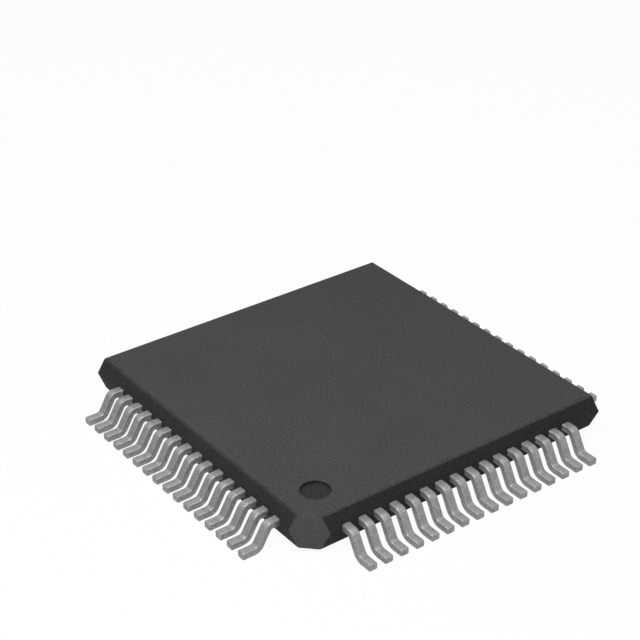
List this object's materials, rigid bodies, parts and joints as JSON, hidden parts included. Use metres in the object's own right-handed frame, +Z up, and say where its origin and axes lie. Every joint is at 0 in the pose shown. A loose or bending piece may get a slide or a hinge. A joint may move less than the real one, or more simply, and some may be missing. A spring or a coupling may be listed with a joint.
{
  "type": "integrated circuit",
  "caption": "Thin square surface-mount package with gull-wing leads on every side, a cut corner and dimple at the first lead, and an exposed pad flush with its underside.",
  "frame": {"origin": "on the board plane under the centre of the body, where the feet of the leads rest", "axes": "+Z up through the moulded body; the cut corner beside the first lead is at -X -Y, and the leads are numbered counter-clockwise from it, the first row along -Y towards +X"},
  "size_m": [0.0122, 0.0122, 0.0012],
  "materials": {
    "mold_compound": "matte moulded epoxy with a very fine grain",
    "tin_plated_copper": "matte tin plating on copper sheet",
    "die_adhesive": "silver-filled epoxy",
    "silicon": "polished silicon",
    "bond_wire": "bright gold wire"
  },
  "bodies": {
    "root": {"mold_body": "mold_compound", "die_paddle": "tin_plated_copper", "die_adhesive": "die_adhesive", "silicon_die": "silicon", "leads_01_04": "tin_plated_copper", "leads_05_08": "tin_plated_copper", "leads_09_12": "tin_plated_copper", "leads_13_16": "tin_plated_copper", "leads_17_20": "tin_plated_copper", "leads_21_24": "tin_plated_copper", "leads_25_28": "tin_plated_copper", "leads_29_32": "tin_plated_copper", "leads_33_36": "tin_plated_copper", "leads_37_40": "tin_plated_copper", "leads_41_44": "tin_plated_copper", "leads_45_48": "tin_plated_copper", "leads_49_52": "tin_plated_copper", "leads_53_56": "tin_plated_copper", "leads_57_60": "tin_plated_copper", "leads_61_64": "tin_plated_copper", "bond_wires_01_04": "bond_wire", "bond_wires_05_08": "bond_wire", "bond_wires_09_12": "bond_wire", "bond_wires_13_16": "bond_wire", "bond_wires_17_20": "bond_wire", "bond_wires_21_24": "bond_wire", "bond_wires_25_28": "bond_wire", "bond_wires_29_32": "bond_wire", "bond_wires_33_36": "bond_wire", "bond_wires_37_40": "bond_wire", "bond_wires_41_44": "bond_wire", "bond_wires_45_48": "bond_wire", "bond_wires_49_52": "bond_wire", "bond_wires_53_56": "bond_wire", "bond_wires_57_60": "bond_wire", "bond_wires_61_64": "bond_wire"}
  },
  "joints": []
}
